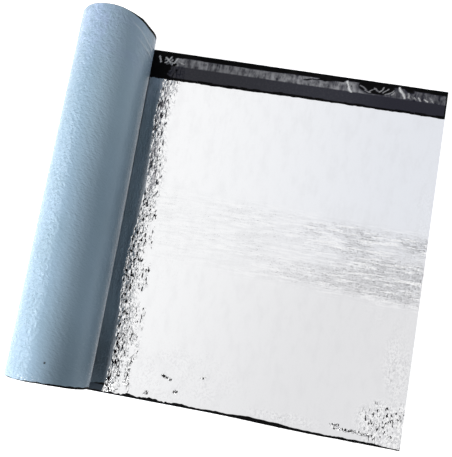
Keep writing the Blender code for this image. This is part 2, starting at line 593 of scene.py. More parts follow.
@dataclass(frozen=True)
class SelvedgeFinish(Finish):
    """Thin clear film over black bitumen: slate where it lies flat, grey where air has crinkled it."""

    name: str = "selvedge_release_film"
    roughness: float = 0.06
    gloss: float = 0.295
    flat: Colour = rgb(0.0190, 0.0200, 0.0370)
    dusty: Colour = rgb(0.0270, 0.0280, 0.0450)
    deep: Colour = rgb(0.0, 0.0, 0.0165)
    airy: Colour = rgb(0.50, 0.505, 0.54)
    glint: Colour = rgb(0.97, 0.98, 1.0)
    mottle: Pattern = Pattern(210.0, detail=2.0, roughness=0.6)
    mottle_steps: Span = (0.45, 0.65)
    deep_run: Span = (0.22, 0.38)
    deep_share: float = 0.9
    crossed: Pattern = Pattern(95.0, (1.0, 0.34, 1.0), 3.0, 0.6)
    cloud: Pattern = Pattern(28.0, (1.0, 1.6, 1.0), 2.0)
    cloud_share: float = 0.6
    puffed_steps: Span = (0.50, 1.10)
    puffed_loss: float = 0.56
    fold_steps: Span = (0.20, 0.38)
    air_rough: float = 0.20
    taut_relief: float = 0.05
    air_height: float = 0.0030
    worry_steps: Span = (0.44, 0.56)
    worry_height: float = 0.0016

    def dress(self, graph: Graph) -> None:
        """Lays the slate, the grey air under the film, the glints painted on its folds and its relief.

        Args:
            graph: The material graph to fill.
        """
        air, fold, worry = (graph.attribute(name) for name in ("air", "fold", "worry"))
        crossed = graph.noise(self.crossed)
        right = graph.axis("X").between(*self.deep_run)
        graph.tone = graph.mix(graph.noise(self.mottle).between(*self.mottle_steps), self.flat, self.dusty)
        graph.lay(self.deep, right * self.deep_share)
        puffed = (crossed + self.cloud_share * graph.noise(self.cloud)).between(*self.puffed_steps)
        graph.lay(self.airy, air * puffed * (1.0 - self.puffed_loss * right))
        # Painted glints along the folds and along the listed glint lines.
        graph.lay(self.glint, fold * crossed.between(*self.fold_steps))
        graph.shade({"Roughness": self.roughness + self.air_rough * air, "Specular IOR Level": self.gloss})
        graph.bump((crossed - 0.5) * (self.taut_relief + air), self.air_height)
        graph.bump((crossed.between(*self.worry_steps) - 0.5) * worry, self.worry_height)


@dataclass(frozen=True)
class FloorFinish(Finish):
    """A plain pale studio floor."""

    name: str = "studio_floor"
    roughness: float = 0.75
    gloss: float = 0.1
    colour: Colour = rgb(0.92, 0.92, 0.92)
    glow: float = 0.92

    def dress(self, graph: Graph) -> None:
        """Gives the floor one colour and a faint glow of its own.

        Args:
            graph: The material graph to fill.
        """
        graph.tone = self.colour
        glow = {"Emission Color": self.colour, "Emission Strength": self.glow}
        graph.shade({"Roughness": self.roughness, "Specular IOR Level": self.gloss, **glow})


def degrees(*angles: float) -> tuple[float, ...]:
    """Angles given in degrees, as radians."""
    return tuple(math.radians(angle) for angle in angles)


def smooth(value: np.ndarray | float, start: float, end: float) -> np.ndarray:
    """A smooth rise from 0 at `start` to 1 at `end`, on an array.

    Args:
        value: The values to read.
        start: Where the result is still 0.
        end: Where the result reaches 1; it may lie below `start`.

    Returns:
        The smooth step.
    """
    part = np.clip((np.asarray(value, float) - start) / (end - start), 0.0, 1.0)
    return part * part * (3 - 2 * part)


def at_least(low: float, share: np.ndarray) -> np.ndarray:
    """A share of 0 to 1, squeezed so that it never falls below `low`."""
    return low + (1 - low) * share


def stations(start: float, *runs: Span) -> np.ndarray:
    """Positions along a line, from runs that each have their own spacing.

    Args:
        start: Where the first run starts.
        runs: Each run's end and spacing; each starts where the last one ends.

    Returns:
        The positions in order.
    """
    places = [np.array([start])]
    for end, spacing in runs:
        count = max(1, round((end - start) / spacing))
        places.append(np.linspace(start, end, count + 1)[1:])
        start = end
    return np.concatenate(places)


@dataclass(frozen=True)
class Grain:
    """How a relief is read: bumps to the metre, octaves, and the shift and lean of each coordinate."""

    per_u: float
    per_v: float = 0.0
    octaves: int = 2
    shift: Span = (0.0, 0.0)
    lean: Span = (0.0, 0.0)


class Relief:
    """Smooth seeded noise over a plane, made of bumps on a few grids of random heights."""

    SIZE: ClassVar[int] = 64
    OCTAVE_SHIFT: ClassVar[Span] = (7.3, 3.1)

    def __init__(self, seed: int) -> None:
        """Keeps a seeded table of random heights.

        Args:
            seed: The seed, so that each run gives the same relief.
        """
        self.table = np.random.default_rng(seed).uniform(-1.0, 1.0, (self.SIZE, self.SIZE))

    def at(self, u: np.ndarray, v: np.ndarray, grain: Grain) -> np.ndarray:
        """The relief at many points.

        Args:
            u: First coordinates.
            v: Second coordinates.
            grain: How the relief is read over them.

        Returns:
            Heights of about -1 to 1.
        """
        across = u * grain.per_u + v * grain.lean[0] + grain.shift[0]
        along = v * grain.per_v + u * grain.lean[1] + grain.shift[1]
        total = np.zeros(np.broadcast(across, along).shape)
        for octave in range(grain.octaves):
            scale = 2.0**octave
            shift_u, shift_v = (octave * step for step in self.OCTAVE_SHIFT)
            total = total + self._layer(across * scale + shift_u, along * scale + shift_v) / scale
        return total

    def _layer(self, across: np.ndarray, along: np.ndarray) -> np.ndarray:
        """One grid of random heights, blended smoothly between its points.

        Args:
            across: First coordinates, one unit to a bump.
            along: Second coordinates, one unit to a bump.

        Returns:
            Heights of -1 to 1.
        """
        low_u, low_v = np.floor(across).astype(int), np.floor(along).astype(int)
        ease_u, ease_v = smooth(across - low_u, 0.0, 1.0), smooth(along - low_v, 0.0, 1.0)

        def row(step_v: int) -> np.ndarray:
            """The heights on one side of each point's square.

            Args:
                step_v: 0 for the low side and 1 for the high one.

            Returns:
                The heights, blended along that side.
            """
            left = self.table[low_u % self.SIZE, (low_v + step_v) % self.SIZE]
            right = self.table[(low_u + 1) % self.SIZE, (low_v + step_v) % self.SIZE]
            return left * (1 - ease_u) + right * ease_u

        return row(0) * (1 - ease_v) + row(1) * ease_v


@dataclass
class Plan:
    """Where everything lies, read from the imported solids."""

    SELVEDGE_RIM: ClassVar[float] = 0.0015
    SWING: ClassVar[float] = 0.0058
    SWING_RUN: ClassVar[Span] = (0.40, 0.72)

    axis_x: float
    axis_z: float
    roll_radius: float
    roll_near: float
    roll_far: float
    tail_end: float
    tail_near: float
    tail_far: float
    face_top: float
    face_start: float
    foil_far: float
    film_near: float
    film_far: float
    bore_radius: float = 0.038

    def near_edge(self, x: np.ndarray) -> np.ndarray:
        """The tail's near edge, which swings out a little past its middle."""
        return self.tail_near - self.SWING * smooth(x - self.axis_x, *self.SWING_RUN)

    @staticmethod
    def from_frame() -> "Plan":
        """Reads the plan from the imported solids' boxes.

        Returns:
            The plan.
        """
        liner_low, liner_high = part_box(Node.LINER.value)
        body_low, body_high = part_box(Node.MEMBRANE.value)
        foil_low, foil_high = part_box(Node.FOIL.value)
        film_low, film_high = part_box(Node.SELVEDGE.value)
        radius = liner_high.z / 2
        shift = body_high.y - film_high.y - Plan.SELVEDGE_RIM
        return Plan(
            axis_x=liner_low.x + radius,
            axis_z=radius,
            roll_radius=radius,
            roll_near=body_low.y + shift,
            roll_far=body_high.y,
            tail_end=body_high.x,
            tail_near=body_low.y,
            tail_far=body_high.y - shift,
            face_top=foil_high.z,
            face_start=foil_low.x,
            foil_far=foil_high.y,
            film_near=film_low.y,
            film_far=film_high.y,
        )


def quads(grid: np.ndarray) -> np.ndarray:
    """The four-cornered faces between neighbouring points of a grid of indices."""
    corners = (grid[:-1, :-1], grid[:-1, 1:], grid[1:, 1:], grid[1:, :-1])
    return np.stack([corner.reshape(-1) for corner in corners], axis=1)


def place_object(name: str, data: bpy.types.ID) -> bpy.types.Object:
    """Puts a new object in the scene, at the origin.

    Args:
        name: The object's name.
        data: The mesh, light or camera that it holds.

    Returns:
        The new object.
    """
    obj = bpy.data.objects.new(name, data)
    bpy.context.scene.collection.objects.link(obj)
    return obj


def face_outward(mesh: bpy.types.Mesh, sources: list[bpy.types.Mesh]) -> None:
    """Fills a mesh with the faces of others, all turned outward.

    Args:
        mesh: The mesh to fill.
        sources: The meshes to take the faces from; the mesh itself may be the one.
    """
    builder = bmesh.new()
    for source in sources:
        builder.from_mesh(source)
    bmesh.ops.recalc_face_normals(builder, faces=builder.faces)
    builder.to_mesh(mesh)
    builder.free()


def make_object(
    name: str, points: np.ndarray, faces: list, materials: list[bpy.types.Material]
) -> bpy.types.Object:
    """A mesh object at the origin, smooth where it is round.

    Args:
        name: The piece's name.
        points: The corners.
        faces: The faces, as lists of corner numbers.
        materials: The piece's materials, the first of them on every face.

    Returns:
        The new object.
    """
    mesh = bpy.data.meshes.new(name)
    mesh.from_pydata(np.asarray(points).tolist(), [], faces)
    face_outward(mesh, [mesh])
    for material in materials:
        mesh.materials.append(material)
    mesh.shade_smooth()
    mesh.set_sharp_from_angle(angle=math.radians(40))
    return place_object(name, mesh)


def write_marks(obj: bpy.types.Object, marks: dict[str, np.ndarray], repeated: np.ndarray) -> None:
    """Stores numbers for the shader on a mesh whose first points are a grid.

    Args:
        obj: The piece.
        marks: The numbers at each point of the grid, by name.
        repeated: For each further point, the number of the grid point that it lies under.
    """
    for name, values in marks.items():
        flat = values.reshape(-1)
        mark = obj.data.attributes.new(name, "FLOAT", "POINT")
        mark.data.foreach_set("value", np.concatenate([flat, flat[repeated]]).astype(np.float32))


def report(obj: bpy.types.Object) -> None:
    """Logs a finished piece with its number of faces."""
    log.info("%s: %d faces", obj.name, len(obj.data.polygons))


@dataclass(frozen=True)
class Skew:
    """How the wound roll departs from a true cylinder on the side where the tail lies.

    Toward its far end that side is drawn in, and its turns have slipped a little toward the near end.
    """

    axis_x: float
    drawn_in: float = 0.075
    drawn_side: Span = (-0.55, 0.45)
    slip_near: float = 0.0040
    slip_far: float = 0.0100
    slip_under: float = 0.0110
    under_height: Span = (0.052, 0.022)
    slip_corner: float = 0.0090
    corner_out: Span = (0.078, 0.106)
    corner_side: Span = (0.30, 0.50)
    side_out: Span = (0.0, 0.11)
    clear_height: Span = (0.004, 0.032)

    def apply(self, points: np.ndarray) -> np.ndarray:
        """Moves the points of a wound piece, and leaves those of the flat tail.

        Args:
            points: The points, with X, Y and Z in the last dimension.

        Returns:
            The moved points.
        """
        out, along, height = points[..., 0] - self.axis_x, points[..., 1], points[..., 2]
        side = smooth(out, *self.side_out) * smooth(height, *self.clear_height)
        share = smooth(along, *self.drawn_side)
        under = self.slip_under * smooth(height, *self.under_height) * (1 - share)
        corner = self.slip_corner * smooth(out, *self.corner_out) * smooth(along, *self.corner_side)
        slip = self.slip_near + (self.slip_far - self.slip_near) * share + under + corner
        moved = points.copy()
        moved[..., 0] -= out * self.drawn_in * side * share
        moved[..., 1] -= slip * side
        return moved

    def apply_to(self, obj: bpy.types.Object) -> None:
        """Moves the points of a finished mesh.

        Args:
            obj: The mesh object.
        """
        points = np.empty(len(obj.data.vertices) * 3)
        obj.data.vertices.foreach_get("co", points)
        obj.data.vertices.foreach_set("co", self.apply(points.reshape(-1, 3)).reshape(-1))
        obj.data.update()


@dataclass
class SheetPath:
    """The line that the sheet follows: in from the tail's cut end, then once round the roll to the nip.

    Angles go round the roll from the floor, up the side away from the tail.
    """

    plan: Plan
    skew: Skew
    nip_angle: float = math.radians(14.0)
    spread: Span = degrees(4.0, 75.0)
    loosened: Span = degrees(92.0, 150.0)
    tightened: Span = degrees(228.0, 150.0)
    loose_near: float = 0.0028
    loose_far: float = 0.0072

    def lines(self, tail_spacing: float, arc_count: int) -> tuple[np.ndarray, np.ndarray, np.ndarray]:
        """Points along the outside of the sheet, with the direction that faces out.

        Args:
            tail_spacing: The distance between points on the flat tail.
            arc_count: How many steps go round the roll.

        Returns:
            The points and the outward directions as (x, z), and the angle round the roll, 0 on the tail.
        """
        plan = self.plan
        flat = stations(plan.tail_end, (plan.axis_x, -tail_spacing))[:-1]
        angle = np.linspace(0.0, 2 * math.pi - self.nip_angle, arc_count + 1)
        turned = np.concatenate([np.zeros(len(flat)), angle])
        facing = np.stack([-np.sin(turned), -np.cos(turned)], axis=1)
        points = np.array([plan.axis_x, plan.axis_z]) + plan.roll_radius * facing
        points[: len(flat), 0] = flat
        return points, facing, turned

    def ends(self, turned: np.ndarray) -> tuple[np.ndarray, np.ndarray]:
        """The sheet's near and far edges: it winds back to the roll's ends, and its last turn is loose.

        Args:
            turned: The angle round the roll at each point.

        Returns:
            The near and far positions along Y.
        """
        plan = self.plan
        share = smooth(turned, *self.spread)
        near = plan.tail_near + (plan.roll_near - plan.tail_near) * share
        far = plan.tail_far + (plan.roll_far - plan.tail_far) * share
        loose = smooth(turned, *self.loosened) * smooth(turned, *self.tightened)
        return near - self.loose_near * loose, far + self.loose_far * loose

    def surface(
        self, points: np.ndarray, facing: np.ndarray, across: np.ndarray, rise: np.ndarray
    ) -> np.ndarray:
        """A skewed grid of points at a distance from the sheet's line.

        Args:
            points: The line's points as (x, z).
            facing: The outward direction at each of them.
            across: The grid of Y positions.
            rise: The grid of distances from the line.

        Returns:
            The grid of points.
        """
        flat = points[:, None, :] + facing[:, None, :] * rise[:, :, None]
        return self.skew.apply(np.stack([flat[:, :, 0], across, flat[:, :, 1]], axis=2))


@dataclass
class Sheet:
    """A point-by-point surface that becomes one closed mesh."""

    name: str
    outer: np.ndarray
    inner: np.ndarray
    marks: dict[str, np.ndarray] = field(default_factory=dict)

    def build(self, material: bpy.types.Material) -> bpy.types.Object:
        """Joins the two faces along their four edges into one closed shell.

        Args:
            material: The shell's material.

        Returns:
            The finished object.
        """
        rows, columns = self.outer.shape[:2]
        grid = np.arange(rows * columns).reshape(rows, columns)
        under = grid + rows * columns
        faces = [quads(grid), quads(under)[:, ::-1]]
        for pick in (np.s_[0, :], np.s_[-1, ::-1], np.s_[:, -1], np.s_[::-1, 0]):
            edge, low = grid[pick], under[pick]
            faces.append(np.stack([low[:-1], low[1:], edge[1:], edge[:-1]], axis=1))
        points = np.concatenate([self.outer.reshape(-1, 3), self.inner.reshape(-1, 3)])
        obj = make_object(self.name, points, np.concatenate(faces).tolist(), [material])
        write_marks(obj, self.marks, grid.reshape(-1))
        return obj


@dataclass
class ReleaseLiner:
    """The blue film: flat under the tail, then round the outside of the roll."""

    path: SheetPath
    thickness: float = 0.0003
    tail_spacing: float = 0.035
    arc_count: int = 190
    across_runs: tuple[Span, ...] = ((0.93, 1 / 150), (1.0, 0.0026))
    crinkle: float = 0.00022
    crinkled: Span = degrees(12.0, 50.0)
    waves: Grain = Grain(45.0, 28.0)
    wave_share: float = 0.6
    ripples: Grain = Grain(110.0, 60.0, 1)
    ripple_share: float = 0.4
    deepest: float = -0.00008
    slack: float = 0.0034
    slack_middle: float = math.radians(262.0)
    slack_reach: float = math.radians(70.0)
    slack_round: float = 1.2
    bare_near: Span = degrees(150.0, 215.0)
    near_set_back: float = 0.0048
    near_low: float = 0.2
    near_rough: float = 0.0011
    rough: Grain = Grain(70.0, shift=(0.0, 8.0))
    bare_far: Span = degrees(200.0, 234.0)
    far_set_back: float = 0.0082
    far_low: float = 0.1
    far_rough: float = 0.0006
    edge: Grain = Grain(25.0, shift=(0.0, 3.0))
    creases: tuple = (
        ((math.radians(212.0), 0.4850), (math.radians(262.0), 0.4560)),
        ((math.radians(226.0), 0.4500), (math.radians(266.0), 0.4360)),
    )
    crease_height: float = 0.0011
    crease_width: float = 0.0035
    crease_start: Span = (-0.1, 0.2)
    crease_end: Span = (1.2, 0.9)
    seed: int = 11

    def build(self, finish: LinerFinish) -> bpy.types.Object:
        """Builds the film as one closed shell.

        Args:
            finish: The film's finish.

        Returns:
            The finished piece.
        """
        path = self.path
        points, facing, turned = path.lines(self.tail_spacing, self.arc_count)
        near, far = path.ends(turned)
        noise = Relief(self.seed)
        share = stations(0.0, *self.across_runs)
        arc = turned * path.plan.roll_radius
        bare = self.near_set_back * at_least(self.near_low, smooth(turned, *self.bare_near))
        near = near + (bare + self.near_rough * (1 + noise.at(arc, arc, self.rough))) * (turned > 0)
        bare = self.far_set_back * at_least(self.far_low, smooth(turned, *self.bare_far))
        far = far - (bare + self.far_rough * (1 - noise.at(arc, arc, self.edge))) * (turned > 0)
        across = near[:, None] + (far - near)[:, None] * share[None, :]
        around = arc[:, None] + 0 * across
        creases = self._creases(turned[:, None], across)
        rise = creases + self._rise(around, across, turned[:, None], share[None, :], noise)
        rise = np.maximum(rise, self.deepest) * (turned[:, None] > 0)
        outer = path.surface(points, facing, across, rise)
        inner = path.surface(points, facing, across, rise - self.thickness)
        marks = {"arc": around, "crease": creases / self.crease_height}
        obj = Sheet("release_film", outer, inner, marks).build(finish.material())
        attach(obj, Body.ROOT.value)
        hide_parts(Node.LINER.value)
        return obj

    def _rise(
        self, around: np.ndarray, across: np.ndarray, turned: np.ndarray, share: np.ndarray, noise: Relief
    ) -> np.ndarray:
        """How far the film stands out from its line: crinkles, and the slack of the last turn.

        Args:
            around: The grid of distances round the roll.
            across: The grid of Y positions.
            turned: The angle round the roll, down the grid.
            share: How far along the roll each column lies, from 0 to 1.
            noise: The film's seeded relief.

        Returns:
            The grid of distances from the line.
        """
        slack = self.slack * smooth(np.abs(turned - self.slack_middle), self.slack_reach, 0.0)
        slack = slack * np.sin(math.pi * share) ** self.slack_round
        waves = self.wave_share * noise.at(around, across, self.waves)
        waves = waves + self.ripple_share * noise.at(around, across, self.ripples)
        return self.crinkle * waves * smooth(turned, *self.crinkled) + slack

    def _creases(self, turned: np.ndarray, across: np.ndarray) -> np.ndarray:
        """Two raised creases that run in from the far rim beside the tail.

        Args:
            turned: The angle round the roll, down the grid.
            across: The grid of Y positions.

        Returns:
            The grid of heights.
        """
        total = 0 * across
        for start, end in self.creases:
            share = (turned - start[0]) / (end[0] - start[0])
            line = start[1] + (end[1] - start[1]) * share
            ridge = self.crease_height * smooth(np.abs(across - line), self.crease_width, 0.0)
            total = total + ridge * smooth(share, *self.crease_start) * smooth(share, *self.crease_end)
        return total


@dataclass
class BitumenSheet:
    """The black sheet of the tail, which goes on as the roll's last turn under the film."""

    path: SheetPath
    depth: float = 0.00035
    thickness: float = 0.00155
    tail_spacing: float = 0.004
    arc_count: int = 120
    margin_runs: tuple[Span, ...] = ((0.012, 0.003), (0.10, 0.022))
    middle_steps: int = 8
    near_ragged: float = 0.000315
    near_grain: Grain = Grain(90.0, shift=(0.0, 2.0))
    far_ragged: float = 0.000225
    far_grain: Grain = Grain(60.0, shift=(0.0, 9.0))
    lump_height: float = 0.00012
    lumps: Grain = Grain(70.0, 70.0)
    seed: int = 23

    def build(self, finish: BitumenFinish) -> bpy.types.Object:
        """Builds the sheet as one closed shell with a rough-cut edge.

        Args:
            finish: The compound's finish.

        Returns:
            The finished piece.
        """
        path, plan = self.path, self.path.plan
        noise = Relief(self.seed)
        points, facing, turned = path.lines(self.tail_spacing, self.arc_count)
        near, far = path.ends(turned)
        near = near + (plan.near_edge(points[:, 0]) - plan.tail_near) * (turned == 0)
        run = np.concatenate([[0.0], np.cumsum(np.linalg.norm(np.diff(points, axis=0), axis=1))])
        near = near + self.near_ragged * (1 + noise.at(run, run, self.near_grain))
        far = far - self.far_ragged * (1 + noise.at(run, run, self.far_grain))
        margin = stations(0.0, *self.margin_runs)
        middle = np.linspace(margin[-1], 1.0 - margin[-1], self.middle_steps + 1)[1:-1]
        share = np.concatenate([margin, middle, 1.0 - margin[::-1]])
        across = near[:, None] + (far - near)[:, None] * share[None, :]
        lumps = self.lump_height * noise.at(run[:, None], across, self.lumps)
        outer = path.surface(points, facing, across, 0 * across - self.depth)
        inner = path.surface(points, facing, across, lumps - self.depth - self.thickness)
        obj = Sheet("bitumen_sheet", outer, inner).build(finish.material())
        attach(obj, Body.ROOT.value)
        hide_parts(Node.MEMBRANE.value)
        return obj


class ShapeTree(Nodes):
    """A Geometry Nodes tree with named inputs."""

    def __init__(self, name: str) -> None:
        """Makes an empty tree.

        Args:
            name: The tree's name.
        """
        super().__init__(bpy.data.node_groups.new(name, "GeometryNodeTree"))
        self.tree.interface.new_socket(name="Geometry", in_out="OUTPUT", socket_type="NodeSocketGeometry")
        self.source = self.tree.nodes.new("NodeGroupInput")
        self.result = self.tree.nodes.new("NodeGroupOutput")

    def input(self, name: str, kind: str = "NodeSocketFloat") -> bpy.types.NodeSocket:
        """Adds a named input and returns the socket that carries it."""
        self.tree.interface.new_socket(name=name, in_out="INPUT", socket_type=kind)
        return self.source.outputs[name]

    def then(
        self, kind: str, before: bpy.types.NodeSocket, inputs: dict | None = None
    ) -> bpy.types.NodeSocket:
        """Adds a node that works on the geometry of the one before, and returns what it makes."""
        return self.add(kind, {}, {0: before, **(inputs or {})}).outputs[0]

    def finish(self, geometry: bpy.types.NodeSocket, material: bpy.types.NodeSocket) -> None:
        """Ends the tree with Realize Instances and Set Material.

        Args:
            geometry: What the tree has made.
            material: The socket that carries the material.
        """
        real = self.then("GeometryNodeRealizeInstances", geometry)
        dressed = self.then("GeometryNodeSetMaterial", real, {"Material": material})
        self.tree.links.new(dressed, self.result.inputs["Geometry"])

    def mesh(self, name: str, values: dict[str, object]) -> bpy.types.Object:
        """Runs the tree on an empty mesh and keeps the result as a plain object.

        Args:
            name: The new piece's name.
            values: The tree's inputs by name.

        Returns:
            The new object, with no modifier left on it.
        """
        host = place_object(name + "_host", bpy.data.meshes.new(name + "_host"))
        modifier = host.modifiers.new("nodes", "NODES")
        modifier.node_group = self.tree
        for item in self.tree.interface.items_tree:
            if item.item_type == "SOCKET" and item.in_out == "INPUT" and item.name in values:
                modifier[item.identifier] = values[item.name]
        bpy.context.view_layer.update()
        evaluated = host.evaluated_get(bpy.context.evaluated_depsgraph_get())
        mesh = bpy.data.meshes.new_from_object(evaluated)
        bpy.data.objects.remove(host, do_unlink=True)
        mesh.name = name
        return place_object(name, mesh)


@dataclass(frozen=True)
class Layer:
    """One layer of the wound sheet, as its edge shows on the roll's ends."""

    name: str
    slot: str
    width: float
    shift: float = 0.0
    sunk: float = 0.0


@dataclass
class TurnEdges:
    """The edges of every turn on both ends of the roll, each a strip wound in a spiral."""

    plan: Plan
    skew: Skew
    turns: int = 43
    steps: int = 48
    outer_radius: float = 0.1083
    depth: float = 0.006
    pitch_half: float = 0.000775
    ragged: float = 0.0022
    ragged_scale: float = 3.0
    set_back: float = 0.0009
    near_seed: float = 5.0
    far_seed: float = 45.0
    layers: tuple[Layer, ...] = (
        Layer("turn_edges_bitumen", "bitumen", 0.00115),
        Layer("turn_edges_foil", "aluminium_foil", 0.00017, -0.00068, 0.0003),
        Layer("turn_edges_film", "blue_release_liner", 0.00017, 0.00068, -0.0003),
    )

    def tree(self) -> ShapeTree:
        """Builds the tree that winds one strip.

        Returns:
            The tree, with inputs for the strip's sizes, its place, its raggedness and its material.
        """
        nodes = ShapeTree("wound_strip")
        names = ("Turns", "Start Radius", "End Radius", "Width", "Depth", "Ragged", "Seed")
        turns, start, end, width, depth, ragged, seed = (nodes.input(name) for name in names)
        steps = nodes.input("Steps", "NodeSocketInt")
        place = nodes.input("Place", "NodeSocketVector")
        material = nodes.input("Material", "NodeSocketMaterial")
        sizes = {"Rotations": turns, "Start Radius": start, "End Radius": end, "Height": 0.0}
        spiral = nodes.add("GeometryNodeCurveSpiral", {}, {"Resolution": steps, **sizes}).outputs[0]
        run = Signal(nodes, nodes.add("GeometryNodeSplineParameter").outputs["Length"])
        read = {"W": run + seed, "Scale": self.ragged_scale, "Detail": 3.0}
        slow = nodes.add("ShaderNodeTexNoise", {"noise_dimensions": "1D"}, read)
        stray = (Signal(nodes, slow.outputs[0]) - 0.5) * ragged
        offset = nodes.add("ShaderNodeCombineXYZ", {}, {"Z": stray}).outputs[0]
        moved = nodes.then("GeometryNodeSetPosition", spiral, {"Offset": offset})
        upright = nodes.add("GeometryNodeSetCurveNormal", {"mode": "Z_UP"}, {"Curve": moved}).outputs[0]
        sides = {"Width": width, "Height": depth}
        profile = nodes.add("GeometryNodeCurvePrimitiveQuadrilateral", {}, sides).outputs[0]
        swept = {"Profile Curve": profile, "Fill Caps": True}
        strip = nodes.then("GeometryNodeCurveToMesh", upright, swept)
        stood = nodes.then("GeometryNodeTransform", strip, {"Rotation": (0, 0, -math.pi / 2)})
        lying = {"Rotation": (math.pi / 2, 0, 0), "Translation": place}
        laid = nodes.then("GeometryNodeTransform", stood, lying)
        flat = nodes.then("GeometryNodeSetShadeSmooth", laid, {"Shade Smooth": False})
        nodes.finish(flat, material)
        return nodes

    def build(self, materials: dict[str, bpy.types.Material]) -> list[bpy.types.Object]:
        """Winds the strips of the three layers on both ends.

        Args:
            materials: The material of each layer, by its slot.

        Returns:
            One finished piece for each layer.
        """
        nodes = self.tree()
        made = []
        for layer in self.layers:
            slot = layer.slot
            strips = [self._wind(nodes, layer, materials[slot], end) for end in End]
            mesh = bpy.data.meshes.new(layer.name)
            mesh.materials.append(materials[slot])
            face_outward(mesh, [strip.data for strip in strips])
            for strip in strips:
                bpy.data.objects.remove(strip, do_unlink=True)
            obj = place_object(layer.name, mesh)
            self.skew.apply_to(obj)
            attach(obj, Body.ROOT.value)
            made.append(obj)
        return made

    def _wind(
        self, nodes: ShapeTree, layer: Layer, material: bpy.types.Material, end: End
    ) -> bpy.types.Object:
        """One strip on one end of the roll.

        Args:
            nodes: The tree that winds it.
            layer: The layer that the strip is the edge of.
            material: The strip's material.
            end: The end of the roll.

        Returns:
            The strip as a plain mesh object.
        """
        plan = self.plan
        inset = self.set_back + layer.sunk + self.depth / 2
        near = end is End.NEAR
        values = {
            "Turns": float(self.turns),
            "Steps": self.steps,
            "Start Radius": plan.bore_radius + self.pitch_half + layer.shift,
            "End Radius": self.outer_radius - self.pitch_half + layer.shift,
            "Width": layer.width,
            "Depth": self.depth,
            "Ragged": self.ragged,
            "Seed": self.near_seed if near else self.far_seed,
            "Place": (plan.axis_x, plan.roll_near + inset if near else plan.roll_far - inset, plan.axis_z),
            "Material": material,
        }
        return nodes.mesh(f"{layer.name}_{end.value}", values)


@dataclass
class WoundCore:
    """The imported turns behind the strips: a ring whose bore is the spiral of the first turn."""

    plan: Plan
    skew: Skew
    outer_radius: float = 0.1083
    pitch: float = 0.00163
    recess: float = 0.0042
    sides: int = 120
    rings: int = 24

    def build(self, materials: dict[str, bpy.types.Material]) -> bpy.types.Object:
        """Builds the ring as one closed body, with foil on the wall of its bore.

        Args:
            materials: The material of each layer, by its slot.

        Returns:
            The finished piece.
        """
        plan = self.plan
        angle = np.linspace(0.0, 2 * math.pi, self.sides + 1) - math.pi / 2
        bore = plan.bore_radius + self.pitch * np.linspace(0.0, 1.0, self.sides + 1)
        levels = np.linspace(plan.roll_near + self.recess, plan.roll_far - self.recess, self.rings + 1)

        def ring(radius: np.ndarray, turn: np.ndarray, level: float) -> np.ndarray:
            """Points round the roll's axis at one place along it."""
            x, z = plan.axis_x + radius * np.cos(turn), plan.axis_z + radius * np.sin(turn)
            return np.stack([x, np.full(len(turn), level), z], axis=1)

        outside = np.full(self.sides, self.outer_radius)
        wall = [ring(bore, angle, level) for level in levels]
        skin = [ring(outside, angle[:-1], level) for level in levels]
        points = self.skew.apply(np.concatenate(wall + skin))
        grid = np.arange(len(levels) * (self.sides + 1)).reshape(len(levels), -1)
        hull = np.arange(len(levels) * self.sides).reshape(len(levels), -1) + grid.size
        faces = [face for part in (grid, hull) for face in quads(np.c_[part, part[:, :1]]).tolist()]
        wall_faces = self.rings * (self.sides + 1)
        for outer, inner in ((hull[0], grid[0]), (hull[-1], grid[-1])):
            outer, inner = np.append(outer, outer[0]).tolist(), inner.tolist()
            for side in range(self.sides):
                faces.append([outer[side], outer[side + 1], inner[side + 1], inner[side]])
            faces.append([outer[0], inner[0], inner[-1]])
        skins = [materials["bitumen"], materials["aluminium_foil"]]
        obj = make_object("wound_core", points, faces, skins)
        for polygon in list(obj.data.polygons)[:wall_faces]:
            polygon.material_index = 1
        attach(obj, Body.ROOT.value)
        return obj


@dataclass(frozen=True)
class Line:
    """A straight raised or shiny line on the tail, from one (u, y) to another."""

    start: Span
    end: Span
    width: float = 0.0022
    amount: float = 1.0
    core: float = 0.35

    def share(self, u: np.ndarray, y: np.ndarray) -> np.ndarray:
        """How strongly the line is felt.

        Args:
            u: Distances from the roll's axis.
            y: Y positions.

        Returns:
            `amount` on the line and 0 past its width.
        """
        (start_u, start_y), (end_u, end_y) = self.start, self.end
        run_u, run_y = end_u - start_u, end_y - start_y
        part = np.clip(((u - start_u) * run_u + (y - start_y) * run_y) / (run_u**2 + run_y**2), 0.0, 1.0)
        away = np.hypot(u - start_u - part * run_u, y - start_y - part * run_y)
        return self.amount * smooth(away, self.width, self.width * self.core)


@dataclass(frozen=True)
class Patch:
    """An oval area on the tail, with its middle at (u, y)."""

    u: float
    y: float
    reach_u: float
    reach_y: float
    amount: float
    core: float = 0.30

    def share(self, u: np.ndarray, y: np.ndarray) -> np.ndarray:
        """How strongly the patch is felt: `amount` in its middle and 0 past its reach."""
        far = np.hypot((u - self.u) / self.reach_u, (y - self.y) / self.reach_y)
        return self.amount * smooth(far, 1.0, self.core)


@dataclass(frozen=True)
class Ground:
    """A grid of places on the tail, with the seeded relief of the sheet that lies there."""

    u: np.ndarray
    y: np.ndarray
    noise: Relief

    def relief(self, grain: Grain) -> np.ndarray:
        """The relief of this grain over the whole grid."""
        return self.noise.at(self.u, self.y, grain)

    def strongest(self, places: tuple[Patch | Line, ...]) -> np.ndarray:
        """How strongly the strongest of several patches and lines is felt at each point."""
        return np.maximum.reduce([place.share(self.u, self.y) for place in places])


